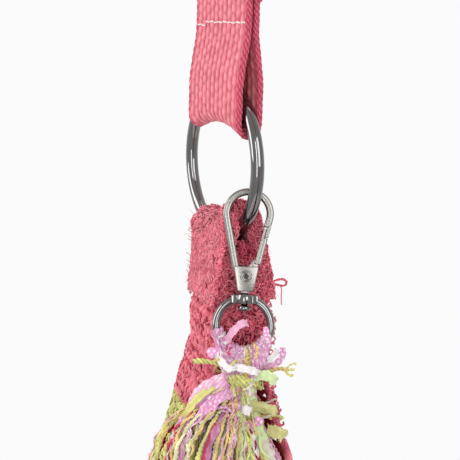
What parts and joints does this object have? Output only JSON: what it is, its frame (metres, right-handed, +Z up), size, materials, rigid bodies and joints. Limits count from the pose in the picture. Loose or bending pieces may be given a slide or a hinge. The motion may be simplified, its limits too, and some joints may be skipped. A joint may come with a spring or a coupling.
{
  "type": "knit shoulder bag",
  "caption": "Soft knitted shoulder bag with a deep open mouth, ears tabbed onto O-rings, a webbing strap and a tassel on a swivel clasp",
  "frame": {"origin": "the underside of the strap at the top of its arch, where a shoulder or a peg carries the bag", "axes": "+X along the bag's length, from the ring with the tassel to the other, +Y to the back, +Z up"},
  "size_m": [0.345, 0.09, 0.5825],
  "materials": {
    "bag_body": "coarse crochet cotton",
    "tab_left": "fine fuzzy knit",
    "tab_right": "fine fuzzy knit",
    "ring_left": "polished gunmetal",
    "ring_right": "polished gunmetal",
    "strap": "woven cotton webbing",
    "clasp_hook": "satin gunmetal",
    "clasp_gate": "satin gunmetal",
    "clasp_rivet": "satin gunmetal",
    "swivel_eye": "polished gunmetal",
    "tassel": "mixed yarns and cloth strips",
    "tassel_tie": "twisted yarn"
  },
  "bodies": {
    "root": {"bag_body": "bag_body", "strap": "strap", "ring_left": "ring_left", "ring_right": "ring_right", "tab_left": "tab_left", "tab_right": "tab_right"},
    "charm": {"clasp_hook": "clasp_hook", "clasp_rivet": "clasp_rivet"},
    "gate": {"clasp_gate": "clasp_gate"},
    "swivel": {"swivel_eye": "swivel_eye", "tassel": "tassel", "tassel_tie": "tassel_tie"}
  },
  "joints": [
    {"name": "charm_swing", "type": "hinge", "parent": "root", "child": "charm", "pos_m": [-0.08728, 0, -0.24071], "axis": [-0.4235, -0.9043, 0.0545], "range_deg": [0, 16]},
    {"name": "gate_hinge", "type": "hinge", "parent": "charm", "child": "gate", "pos_m": [-0.08668, -0.0037, -0.26814], "axis": [0.889, -0.4033, 0.2168], "range_deg": [0, 20], "stiffness_Nm_per_rad": 0.02, "springref_deg": -17.19},
    {"name": "swivel_turn", "type": "hinge", "parent": "charm", "child": "swivel", "pos_m": [-0.08559, -0.00458, -0.27428], "axis": [0.174, -0.1402, -0.9747], "continuous": true}
  ]
}
